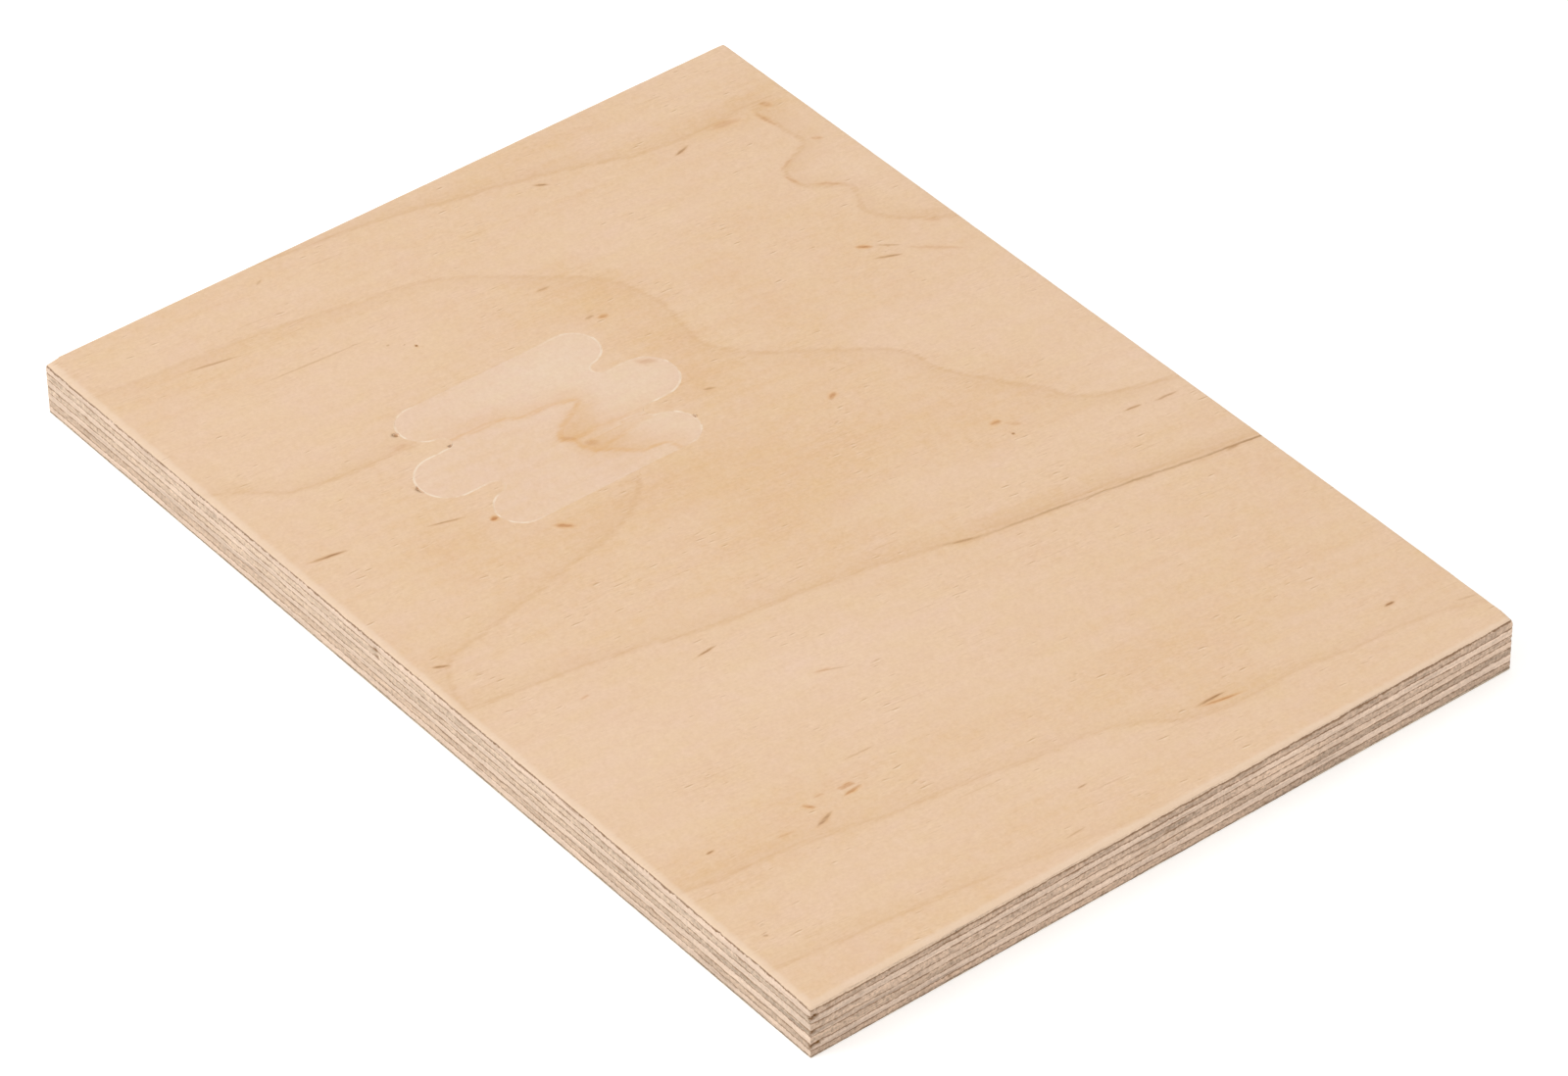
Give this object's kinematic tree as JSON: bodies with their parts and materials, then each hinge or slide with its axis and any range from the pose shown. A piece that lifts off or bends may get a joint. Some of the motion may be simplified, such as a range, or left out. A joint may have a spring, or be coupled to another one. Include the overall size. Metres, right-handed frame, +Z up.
{
  "type": "plywood sheet",
  "caption": "Flat rectangular cut sheet of birch plywood: thin veneers glued with crossed grain, bare layered edges, and a round-lobed veneer repair plug let into its face.",
  "frame": {"origin": "middle of the underside, on the floor", "axes": "+X along the sheet's longest side, across the face grain; +Y along the face grain; +Z up through the veneers"},
  "size_m": [0.297, 0.21, 0.015],
  "materials": {
    "face_birch": "sanded, unfinished",
    "plug_birch": "sanded, unfinished",
    "crossband_birch": "sawn, unfinished",
    "longband_birch": "sawn, unfinished",
    "back_birch": "sanded, unfinished"
  },
  "bodies": {
    "root": {"face_veneer": "face_birch", "repair_plug": "plug_birch", "crossband_1": "crossband_birch", "longband_1": "longband_birch", "crossband_2": "crossband_birch", "core_veneer": "longband_birch", "crossband_3": "crossband_birch", "longband_2": "longband_birch", "crossband_4": "crossband_birch", "back_veneer": "back_birch"}
  },
  "joints": []
}
